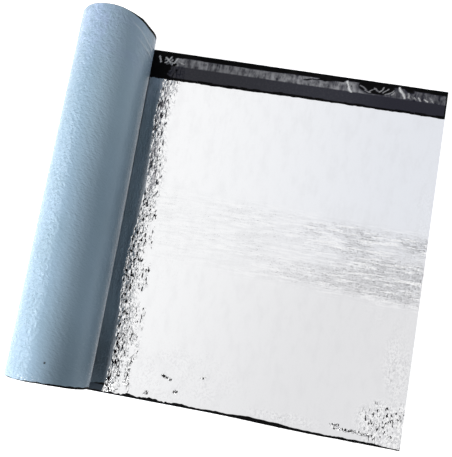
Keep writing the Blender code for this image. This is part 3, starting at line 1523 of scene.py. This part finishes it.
@dataclass
class TopSkin:
    """What the two thin sheets on the tail's face share: a dense top over a flat underside."""

    plan: Plan
    bottom: float = 0.00195

    def slab(
        self, name: str, ground: Ground, top: np.ndarray, marks: dict[str, np.ndarray], finish: Finish
    ) -> bpy.types.Object:
        """Closes a top surface with its sides and one flat face below.

        Args:
            name: The piece's name.
            ground: The grid of places.
            top: The grid of heights.
            marks: Numbers for the shader at each point of the grid.
            finish: The piece's finish.

        Returns:
            The new object.
        """
        rows, columns = top.shape
        grid = np.arange(rows * columns).reshape(rows, columns)
        rim = np.concatenate([grid[:, 0], grid[-1, 1:], grid[-2::-1, -1], grid[0, -2:0:-1]])
        lower = np.arange(len(rim)) + rows * columns
        points = np.stack([self.plan.axis_x + ground.u, ground.y, top], axis=2).reshape(-1, 3)
        below = points[rim].copy()
        below[:, 2] = self.bottom
        around = np.stack([lower, np.roll(lower, -1), np.roll(rim, -1), rim], axis=1)
        faces = np.concatenate([quads(grid), around]).tolist() + [lower[::-1].tolist()]
        obj = make_object(name, np.concatenate([points, below]), faces, [finish.material()])
        write_marks(obj, marks, rim)
        return obj


@dataclass
class FoilFace(TopSkin):
    """The foil on the face of the tail, worried into fine creases where it comes off the roll."""

    along_runs: tuple[Span, ...] = ((0.095, 0.006), (0.205, 0.00135), (0.335, 0.0030), (0.74, 0.0068))
    end_spacing: float = 0.0034
    across_count: int = 330
    skin: float = 0.0001
    far_gap: float = 0.0006
    far_trim: float = 0.0042
    far_run: Span = (0.65, 0.20)
    far_fray: float = 0.0013
    far_grain: Grain = Grain(105.0, shift=(0.0, 5.5))
    bare: float = 0.0084
    bare_dip: float = 0.0014
    dip_at: float = 0.42
    dip_reach: Span = (0.09, 0.02)
    bare_steps: tuple[tuple[float, Span], ...] = (
        (0.0026, (0.46, 0.54)),
        (-0.0020, (0.30, 0.22)),
        (-0.0036, (0.60, 0.70)),
        (-0.0020, (0.135, 0.108)),
    )
    bare_end: Span = (0.95, 0.83)
    bare_low: float = 0.35
    bare_least: float = 0.0008
    wander: Grain = Grain(14.0, octaves=3, shift=(0.0, 1.5))
    wander_reach: float = 0.0008
    fray: Grain = Grain(95.0, shift=(0.0, 7.5))
    fray_reach: float = 0.0016
    fray_more: float = 0.0036
    fray_end: Span = (0.38, 0.28)
    fray_start: Span = (0.12, 0.15)
    mirror_to: float = 0.1255
    mirror_swing: float = 0.0080
    swing_length: float = 0.45
    swing_peak: float = 0.07
    mirror_edge: Grain = Grain(60.0, 30.0)
    edge_reach: float = 0.0030
    # How far the painted shade on the mirror beside the creases reaches, and where the nook's painted dark
    # reflection starts.
    shade_reach: Span = (0.022, 0.004)
    shade_stop: Span = (-0.001, 0.001)
    nook: Span = (-0.4855, -0.4885)
    dense_width: float = 0.040
    dense_blur: float = 0.022
    dense_onset: Span = (0.0, 0.005)
    dense_grain: Grain = Grain(9.0, shift=(0.0, 2.2))
    dense_swing: float = 0.22
    bulge: float = 0.35
    bulge_start: Span = (0.02, -0.10)
    bulge_end: Span = (-0.38, -0.26)
    scatter: Grain = Grain(60.0, 26.0)
    scatter_steps: Span = (-0.35, 0.35)
    loose_width: float = 0.085
    loose_low: float = 0.55
    loose_side: Span = (0.10, -0.15)
    loose_core: float = 0.65
    loose_share: float = 0.95
    deep_share: float = 0.35
    deep_onset: Span = (0.0, 0.004)
    deep_reach: Span = (0.034, 0.012)
    blots: Grain = Grain(45.0, 45.0)
    blot_low: float = 0.55
    blot_steps: Span = (-0.5, 0.5)
    pit_gain: float = 2.0
    streak_middle: float = -0.022
    streak_lean: float = 0.037
    streak_level: float = 0.5
    streak_side: Span = (0.125, 0.075)
    streak_share: float = 0.35
    streak_more: float = 0.38
    streak_run: Span = (0.30, 0.85)
    streak_start: Span = (0.15, 0.20)
    gaps: Grain = Grain(7.0, 22.0)
    gap_low: float = 0.60
    gap_steps: Span = (-0.8, 0.3)
    crumple: float = 0.00032
    crumple_power: float = 1.5
    facets: Grain = Grain(190.0, 90.0, lean=(0.0, 3.0))
    facet_steps: Span = (-0.28, 0.28)
    crumbs: Grain = Grain(260.0, 120.0, 1, (0.0, 3.0))
    crumb_share: float = 0.35
    lines: Grain = Grain(9.0, 120.0, shift=(4.0, 0.0))
    line_height: float = 0.00012
    waves: Grain = Grain(7.0, 7.0)
    wave_height: float = 0.00010
    curl: float = 0.0013
    curl_reach: float = 0.028
    curl_start: Span = (0.112, 0.126)
    curl_end: Span = (0.19, 0.14)
    worn: tuple[Patch, ...] = (
        Patch(0.905, -0.455, 0.130, 0.105, 0.60),
        Patch(0.905, -0.300, 0.065, 0.200, 0.28),
        Patch(0.830, -0.150, 0.060, 0.080, 0.15),
        Patch(0.330, -0.430, 0.260, 0.130, 0.20),
        Patch(0.620, -0.488, 0.170, 0.034, 0.28),
        Patch(0.920, 0.080, 0.060, 0.240, 0.14),
        Patch(0.240, -0.060, 0.110, 0.220, 0.12),
    )
    pits: tuple[Patch | Line, ...] = (
        Line((0.281, -0.4335), (0.296, -0.4375), 0.0044),
        Line((0.296, -0.4375), (0.306, -0.4405), 0.0044, 0.88),
        Line((0.247, -0.4820), (0.2485, -0.4880), 0.0048),
        Line((0.238, -0.4900), (0.247, -0.4890), 0.0036, 0.88),
        Patch(0.324, -0.4710, 0.0085, 0.0062, 1.0),
        Patch(0.393, -0.4200, 0.010, 0.004, 0.88),
        Patch(0.800, -0.4870, 0.060, 0.006, 0.9),
        Patch(0.762, -0.4780, 0.020, 0.006, 0.9),
        Patch(0.846, -0.4890, 0.030, 0.005, 0.9),
    )
    seed: int = 37

    def build(self, finish: FoilFinish) -> bpy.types.Object:
        """Builds the foil.

        Args:
            finish: The foil's finish.

        Returns:
            The finished piece.
        """
        plan = self.plan
        noise = Relief(self.seed)
        end = plan.tail_end - plan.axis_x
        along = stations(plan.face_start - plan.axis_x, *self.along_runs, (end, self.end_spacing))
        share = np.linspace(0.0, 1.0, self.across_count + 1)
        near = plan.near_edge(plan.axis_x + along) + self._margin(along, noise)
        far = plan.foil_far - self.far_trim * smooth(along, *self.far_run) - self.far_gap
        far = far + self.far_fray * noise.at(along, along, self.far_grain)
        y = near[:, None] + (far - near)[:, None] * share[None, :]
        ground = Ground(along[:, None] + 0 * y, y, noise)
        worry, streak = self._worry(ground), self._streak(ground)
        top = plan.face_top + self._relief(ground, worry, streak)
        marks = {"worry": worry, "streak": streak, "shade": self._shade(ground)}
        obj = self.slab("foil_face", ground, np.maximum(top, self.bottom + self.skin), marks, finish)
        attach(obj, Body.ROOT.value)
        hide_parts(Node.FOIL.value)
        return obj

    def _margin(self, along: np.ndarray, noise: Relief) -> np.ndarray:
        """How far short of the near edge the foil stops: it wanders, and nearly reaches the edge in places.

        Args:
            along: Distances from the roll's axis.
            noise: The foil's seeded relief.

        Returns:
            The width of the bare margin at each of them.
        """
        bare = self.bare - self.bare_dip * smooth(np.abs(along - self.dip_at), *self.dip_reach)
        for height, run in self.bare_steps:
            bare = bare + height * smooth(along, *run)
        bare = bare * at_least(self.bare_low, smooth(along, *self.bare_end))
        wander = self.wander_reach * noise.at(along, along, self.wander)
        more = self.fray_more * smooth(along, *self.fray_end) * smooth(along, *self.fray_start)
        fray = (self.fray_reach + more) * noise.at(along, along, self.fray)
        return np.maximum(bare + wander + fray, self.bare_least)

    def _boundary(self, ground: Ground) -> np.ndarray:
        """How far from the roll's axis the flat mirror ends and the creases start."""
        wave = self.mirror_swing * np.cos(2 * math.pi * (ground.y - self.swing_peak) / self.swing_length)
        edge = self.edge_reach * ground.noise.at(ground.y, ground.u, self.mirror_edge)
        return self.mirror_to + wave + edge

    def _shade(self, ground: Ground) -> np.ndarray:
        """Where painted shade darkens the mirror beside the creases, and where a painted dark reflection
        fills the nook at the near edge.

        Args:
            ground: The foil's grid.

        Returns:
            Up to 1 where the mirror carries painted shade, and down to -1 where the nook's dark reflection
            is painted.
        """
        before = self._boundary(ground) - ground.u
        nook = smooth(ground.y, *self.nook)
        painted_shade = smooth(before, *self.shade_reach) * (1.0 - nook)
        return (painted_shade - nook) * smooth(before, *self.shade_stop)

    def _worry(self, ground: Ground) -> np.ndarray:
        """Where the foil is finely creased or pitted.

        Args:
            ground: The foil's grid.

        Returns:
            0 where it is clean, about 1 where it is creased and up to 2 in a pit.
        """
        y, past = ground.y, ground.u - self._boundary(ground)
        width = self.dense_width * (1 + self.dense_swing * ground.noise.at(y, y, self.dense_grain))
        width = width * (1 + self.bulge * smooth(y, *self.bulge_start) * smooth(y, *self.bulge_end))
        onset = smooth(past, *self.dense_onset)
        dense = onset * smooth(past, width + self.dense_blur, width - self.dense_blur)
        deep = self.deep_share * smooth(past, *self.deep_onset) * smooth(past, *self.deep_reach)
        scatter = smooth(ground.relief(self.scatter), *self.scatter_steps) * onset
        reach = self.loose_width * at_least(self.loose_low, smooth(y, *self.loose_side))
        loose = self.loose_share * scatter * smooth(past, reach, reach * self.loose_core)
        blots = at_least(self.blot_low, smooth(ground.relief(self.blots), *self.blot_steps))
        pits = self.pit_gain * ground.strongest(self.pits)
        return np.maximum.reduce([dense + deep, loose, ground.strongest(self.worn) * blots, pits])

    def _streak(self, ground: Ground) -> np.ndarray:
        """Where the foil shows fine lines along the tail.

        Args:
            ground: The foil's grid.

        Returns:
            The strength of the lines, from 0 to 1.
        """
        middle = self.streak_middle - self.streak_lean * (ground.u - self.streak_level)
        band = smooth(np.abs(ground.y - middle), *self.streak_side) * smooth(ground.u, *self.streak_start)
        strength = self.streak_share + self.streak_more * smooth(ground.u, *self.streak_run)
        return band * strength * at_least(self.gap_low, smooth(ground.relief(self.gaps), *self.gap_steps))

    def _relief(self, ground: Ground, worry: np.ndarray, streak: np.ndarray) -> np.ndarray:
        """The height of the foil above its plane.

        Args:
            ground: The foil's grid.
            worry: How finely it is creased.
            streak: How strongly it is lined.

        Returns:
            The grid of heights.
        """
        facets = smooth(ground.relief(self.facets), *self.facet_steps) - 0.5
        crumple = facets + self.crumb_share * ground.relief(self.crumbs)
        crumple = self.crumple * crumple * np.minimum(worry, 1.0) ** self.crumple_power
        lines = self.line_height * ground.relief(self.lines) * streak
        edge = np.clip(1 - (ground.y - self.plan.tail_near) / self.curl_reach, 0.0, 1.0)
        curl = self.curl * edge**2 * smooth(ground.u, *self.curl_end) * smooth(ground.u, *self.curl_start)
        return crumple + lines + self.wave_height * ground.relief(self.waves) + curl


@dataclass
class SelvedgeFilm(TopSkin):
    """The film over the sticky selvedge: taut beside the foil, crinkled with air further out."""

    u_spacing: float = 0.0024
    y_spacing: float = 0.0018
    end_trim: float = 0.0042
    taut_to: float = 0.4500
    near_shift: float = -0.0014
    near_rise: float = 0.0026
    near_run: Span = (0.25, 0.65)
    near_reach: float = 0.01
    air_start: Span = (0.4490, 0.4520)
    airy_to: float = 0.4765
    limit_swing: float = 0.0025
    limit_grain: Grain = Grain(9.0, octaves=3, shift=(0.0, 4.0))
    limit_rise: float = 0.004
    limit_run: Span = (0.60, 0.72)
    air_end: Span = (0.0015, -0.0015)
    stuck_steps: Span = (0.2, 0.6)
    sway_u: Grain = Grain(45.0, 70.0, shift=(0.0, 5.0))
    sway_u_reach: float = 0.0045
    sway_y: Grain = Grain(60.0, 60.0, shift=(9.0, 0.0))
    sway_y_reach: float = 0.0022
    folds: Grain = Grain(75.0, 38.0, lean=(20.0, 0.0))
    ridges: Grain = Grain(40.0, 22.0, 1, (0.0, 8.0), (30.0, 0.0))
    ridge_sharpness: float = 5.0
    puff: float = 0.0004
    fold_height: float = 0.0004
    ridge_height: float = 0.0007
    ridge_low: float = 0.3
    line_height: float = 0.0007
    line_shown: float = 0.15
    sunk: float = 0.0002
    droop: float = 0.00045
    droop_reach: float = 0.012
    worry_share: float = 0.9
    worry_start: Span = (0.098, 0.115)
    worry_end: Span = (0.20, 0.15)
    speckles: Grain = Grain(150.0, 90.0)
    speckled: Span = (0.108, 0.195)
    speckle_high: float = 1.2
    speckle_fall: float = 2.4
    seam: float = 0.0036
    seam_swing: float = 0.45
    seam_grain: Grain = Grain(34.0, shift=(0.0, 12.5))
    shiny: tuple[Patch, ...] = (
        Patch(0.140, 0.461, 0.045, 0.012, 0.5),
        Patch(0.870, 0.460, 0.050, 0.010, 0.45),
    )
    stuck: tuple[Patch | Line, ...] = (
        Line((0.530, 0.4672), (0.582, 0.4755), 0.0030),
        Line((0.575, 0.4755), (0.640, 0.4775), 0.0060),
        Patch(0.738, 0.4740, 0.082, 0.0330, 1.0),
        Patch(0.832, 0.4790, 0.018, 0.0120, 1.0),
    )
    glints: tuple[Line, ...] = (
        Line((0.653, 0.4775), (0.668, 0.4524), 0.0046),
        Line((0.804, 0.4800), (0.824, 0.4540), 0.0042),
        Line((0.100, 0.4740), (0.106, 0.4560), 0.0026),
        Line((0.118, 0.4740), (0.136, 0.4560), 0.0026),
        Line((0.136, 0.4740), (0.122, 0.4560), 0.0026),
        Line((0.152, 0.4720), (0.144, 0.4580), 0.0024, 0.9),
        Line((0.158, 0.4640), (0.172, 0.4560), 0.0022, 0.7),
        Line((0.690, 0.4740), (0.712, 0.4640), 0.0022, 0.30),
        Line((0.708, 0.4620), (0.728, 0.4560), 0.0020, 0.34),
        Line((0.722, 0.4580), (0.738, 0.4690), 0.0020, 0.36),
        Line((0.733, 0.4700), (0.749, 0.4620), 0.0020, 0.30),
        Line((0.749, 0.4620), (0.759, 0.4770), 0.0024, 0.44),
        Line((0.757, 0.4610), (0.770, 0.4730), 0.0024, 0.42),
        Line((0.762, 0.4560), (0.776, 0.4610), 0.0020, 0.32),
        Line((0.772, 0.4580), (0.788, 0.4700), 0.0024, 0.44),
        Line((0.781, 0.4560), (0.792, 0.4650), 0.0022, 0.36),
        Line((0.826, 0.4700), (0.834, 0.4560), 0.0022, 0.5),
        Line((0.846, 0.4600), (0.852, 0.4535), 0.0020, 0.9),
        Line((0.862, 0.4600), (0.868, 0.4535), 0.0020, 0.9),
        Line((0.878, 0.4590), (0.884, 0.4535), 0.0020, 0.9),
        Line((0.898, 0.4560), (0.902, 0.4530), 0.0018, 0.8),
    )
    seed: int = 53

    def build(self, finish: SelvedgeFinish, edge: BitumenFinish) -> bpy.types.Object:
        """Builds the film.

        Args:
            finish: The film's finish.
            edge: The finish where the film is stuck down and the bitumen shows through, also used by the
                roll for a painted dark reflection.

        Returns:
            The finished piece.
        """
        plan = self.plan
        end = plan.tail_end - plan.axis_x - self.end_trim
        along = stations(plan.face_start - plan.axis_x, (end, self.u_spacing))
        across = stations(plan.film_near, (plan.film_far, self.y_spacing))
        u, y = np.meshgrid(along, across, indexing="ij")
        shift = self.near_shift + self.near_rise * smooth(u, *self.near_run)
        y = y + shift * smooth(y, self.taut_to - self.near_reach, plan.film_near)
        ground = Ground(u, y, Relief(self.seed))
        sway_u, sway_y = ground.relief(self.sway_u), ground.relief(self.sway_y)
        swayed = Ground(u + self.sway_u_reach * sway_u, y + self.sway_y_reach * sway_y, ground.noise)
        limit = self.airy_to + self.limit_swing * ground.noise.at(u, u, self.limit_grain)
        past = y - limit - self.limit_rise * smooth(u, *self.limit_run)
        stuck, lines = swayed.strongest(self.stuck), swayed.strongest(self.glints)
        air = smooth(y, *self.air_start) * smooth(past, *self.air_end)
        air = air * (1 - smooth(stuck, *self.stuck_steps))
        ridges = np.maximum(0.0, 1 - self.ridge_sharpness * np.abs(ground.relief(self.ridges)))
        shine = ground.strongest(self.shiny)
        ridged = self.ridge_height * ridges * at_least(self.ridge_low, shine)
        puffed = air * (self.puff + self.fold_height * ground.relief(self.folds) + ridged)
        droop = self.droop * smooth(y, plan.film_far - self.droop_reach, plan.film_far)
        top = plan.face_top - self.sunk + puffed + self.line_height * lines - droop
        marks = {
            "air": air,
            "fold": np.clip(np.maximum(air * ridges * shine, lines), 0.0, 1.0),
            "worry": self.worry_share * smooth(u, *self.worry_start) * smooth(u, *self.worry_end),
        }
        obj = self.slab("selvedge_release", ground, top, marks, finish)
        obj.data.materials.append(edge.material())
        black = self._black(ground, past, stuck) & (lines <= self.line_shown)
        cells = black[:-1, :-1] & black[1:, 1:]
        for polygon, dark in zip(obj.data.polygons, cells.reshape(-1)):
            polygon.material_index = int(dark)
        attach(obj, Body.ROOT.value)
        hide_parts(Node.SELVEDGE.value)
        return obj

    def _black(self, ground: Ground, past: np.ndarray, stuck: np.ndarray) -> np.ndarray:
        """Where the film looks black: past the air and beside the foil it clings and the black bitumen
        shows, and by the roll speckled black cells are a painted dark reflection of the roll.

        Args:
            ground: The film's grid.
            past: How far each point lies past the air's outer limit.
            stuck: How strongly the film is stuck down.

        Returns:
            True where the film looks black.
        """
        u, y = ground.u, ground.y
        # Speckled black cells by the roll: a painted dark reflection of the roll.
        speckle = ground.relief(self.speckles) - self.speckle_fall * smooth(u, *self.speckled)
        seam = self.seam * (1 + self.seam_swing * ground.noise.at(u, u, self.seam_grain))
        beside = y - y[:, :1] < seam
        return (past > 0) | (stuck > 0.5) | (speckle + self.speckle_high > 0) | beside


@dataclass(frozen=True)
class Panel:
    """A soft rectangular light."""

    name: str
    place: tuple[float, float, float]
    size: Span
    power: float

    def hang(self, target: tuple[float, float, float]) -> None:
        """Hangs the light in its place, facing a point, where the camera doesn't see it.

        Args:
            target: The point that it faces.
        """
        light = bpy.data.lights.new(self.name, "AREA")
        light.shape = "RECTANGLE"
        light.size, light.size_y = self.size
        light.energy = self.power
        obj = place_object(self.name, light)
        obj.location = self.place
        obj.rotation_euler = (Vector(target) - Vector(self.place)).to_track_quat("-Z", "Y").to_euler()
        obj.visible_camera = False


@dataclass
class Studio:
    """The pale floor, the soft lights and the camera."""

    plan: Plan
    floor_reach: float = 9.0
    floor_drop: float = 0.0004
    camera_place: tuple = (0.5564, -0.28885, 1.9564)
    camera_target: tuple = (0.3824, -0.00195, 0.0)
    heading: float = math.radians(10.1)
    lens: float = 55.33
    sensor: float = 36.0
    clip: Span = (0.05, 50.0)
    backdrop: float = 0.9
    air: Colour = rgb(0.93, 0.97, 1.0)
    glow_low: float = 0.34
    glow_high: float = 0.0015
    glow_height: float = 0.46
    overhead: Panel = Panel("overhead", (0.15, 0.45, 3.3), (4.2, 4.2), 55.0)
    key: Panel = Panel("key", (-2.9, -0.24, 1.10), (1.9, 1.1), 73.0)
    accent: Panel = Panel("accent", (-1.5, -1.25, 0.85), (0.6, 0.5), 20.0)

    def build(self, floor: FloorFinish) -> None:
        """Builds the set.

        Args:
            floor: The floor's finish.
        """
        plan = self.plan
        self._floor(floor)
        self._world()
        self.overhead.hang((self.overhead.place[0], self.overhead.place[1], 0.0))
        self.key.hang((plan.axis_x, 0.0, plan.axis_z))
        self.accent.hang((plan.axis_x, plan.roll_near, plan.axis_z))
        self._camera()

    def _floor(self, finish: FloorFinish) -> None:
        """A wide flat floor just under the part.

        Args:
            finish: The floor's finish.
        """
        reach, level = self.floor_reach, -self.floor_drop
        corners = [(x * reach, y * reach, level) for x, y in ((-1, -1), (1, -1), (1, 1), (-1, 1))]
        mesh = bpy.data.meshes.new("floor")
        mesh.from_pydata(corners, [], [(0, 1, 2, 3)])
        mesh.materials.append(finish.material())
        obj = place_object("floor", mesh)

    def _world(self) -> None:
        """Studio air: pale where the camera looks past the floor, and as a light a dim glow low down."""
        world = bpy.data.worlds.new("studio_air")
        bpy.context.scene.world = world
        world.use_nodes = True
        nodes = Nodes(world.node_tree)
        coords = nodes.add("ShaderNodeTexCoord").outputs["Generated"]
        height = nodes.add("ShaderNodeSeparateXYZ", {}, {"Vector": coords}).outputs["Z"]
        glow = {"From Max": self.glow_height, "To Min": self.glow_low, "To Max": self.glow_high}
        eased = {"interpolation_type": "SMOOTHSTEP"}
        rise = nodes.add("ShaderNodeMapRange", eased, {"Value": height, **glow})
        seen = nodes.add("ShaderNodeLightPath").outputs["Is Camera Ray"]
        choice = {"Factor": seen, "A": rise.outputs["Result"], "B": self.backdrop}
        pick = nodes.add("ShaderNodeMix", {}, choice)
        back = world.node_tree.nodes["Background"]
        nodes.feed(back.inputs["Color"], self.air)
        nodes.feed(back.inputs["Strength"], pick.outputs["Result"])

    def _camera(self) -> None:
        """The camera at the photograph's place, measured from the roll's axis."""
        origin = Vector((self.plan.axis_x, 0.0, 0.0))
        place = origin + Vector(self.camera_place)
        forward = (origin + Vector(self.camera_target) - place).normalized()
        compass = Vector((-math.sin(self.heading), math.cos(self.heading), 0.0))
        up = (compass - compass.dot(forward) * forward).normalized()
        turn = Matrix((forward.cross(up), up, -forward)).transposed()
        camera = bpy.data.cameras.new("camera")
        camera.lens = self.lens
        camera.sensor_width = self.sensor
        camera.clip_start, camera.clip_end = self.clip
        obj = place_object("camera", camera)
        obj.matrix_world = Matrix.Translation(place) @ turn.to_4x4()
        bpy.context.scene.camera = obj


def main() -> None:
    """Builds every piece in order, then the set."""
    logging.basicConfig(level=logging.INFO, format="%(name)s: %(message)s")
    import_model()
    plan = Plan.from_frame()
    log.info("roll radius %.4f, ends %.4f to %.4f", plan.roll_radius, plan.roll_near, plan.roll_far)
    bpy.context.scene.view_settings.view_transform = "Standard"
    skew = Skew(plan.axis_x)
    path = SheetPath(plan, skew)
    foil, bitumen, film = FoilFinish(), BitumenFinish(), LinerFinish()
    report(ReleaseLiner(path).build(film))
    report(BitumenSheet(path).build(bitumen))
    layers = {
        "bitumen": bitumen.material(),
        "aluminium_foil": foil.material(),
        "blue_release_liner": film.material(),
    }
    report(WoundCore(plan, skew).build(layers))
    for piece in TurnEdges(plan, skew).build(layers):
        report(piece)
    report(FoilFace(plan).build(foil))
    report(SelvedgeFilm(plan).build(SelvedgeFinish(), bitumen))
    Studio(plan).build(FloorFinish())


if __name__ == "__main__":
    main()
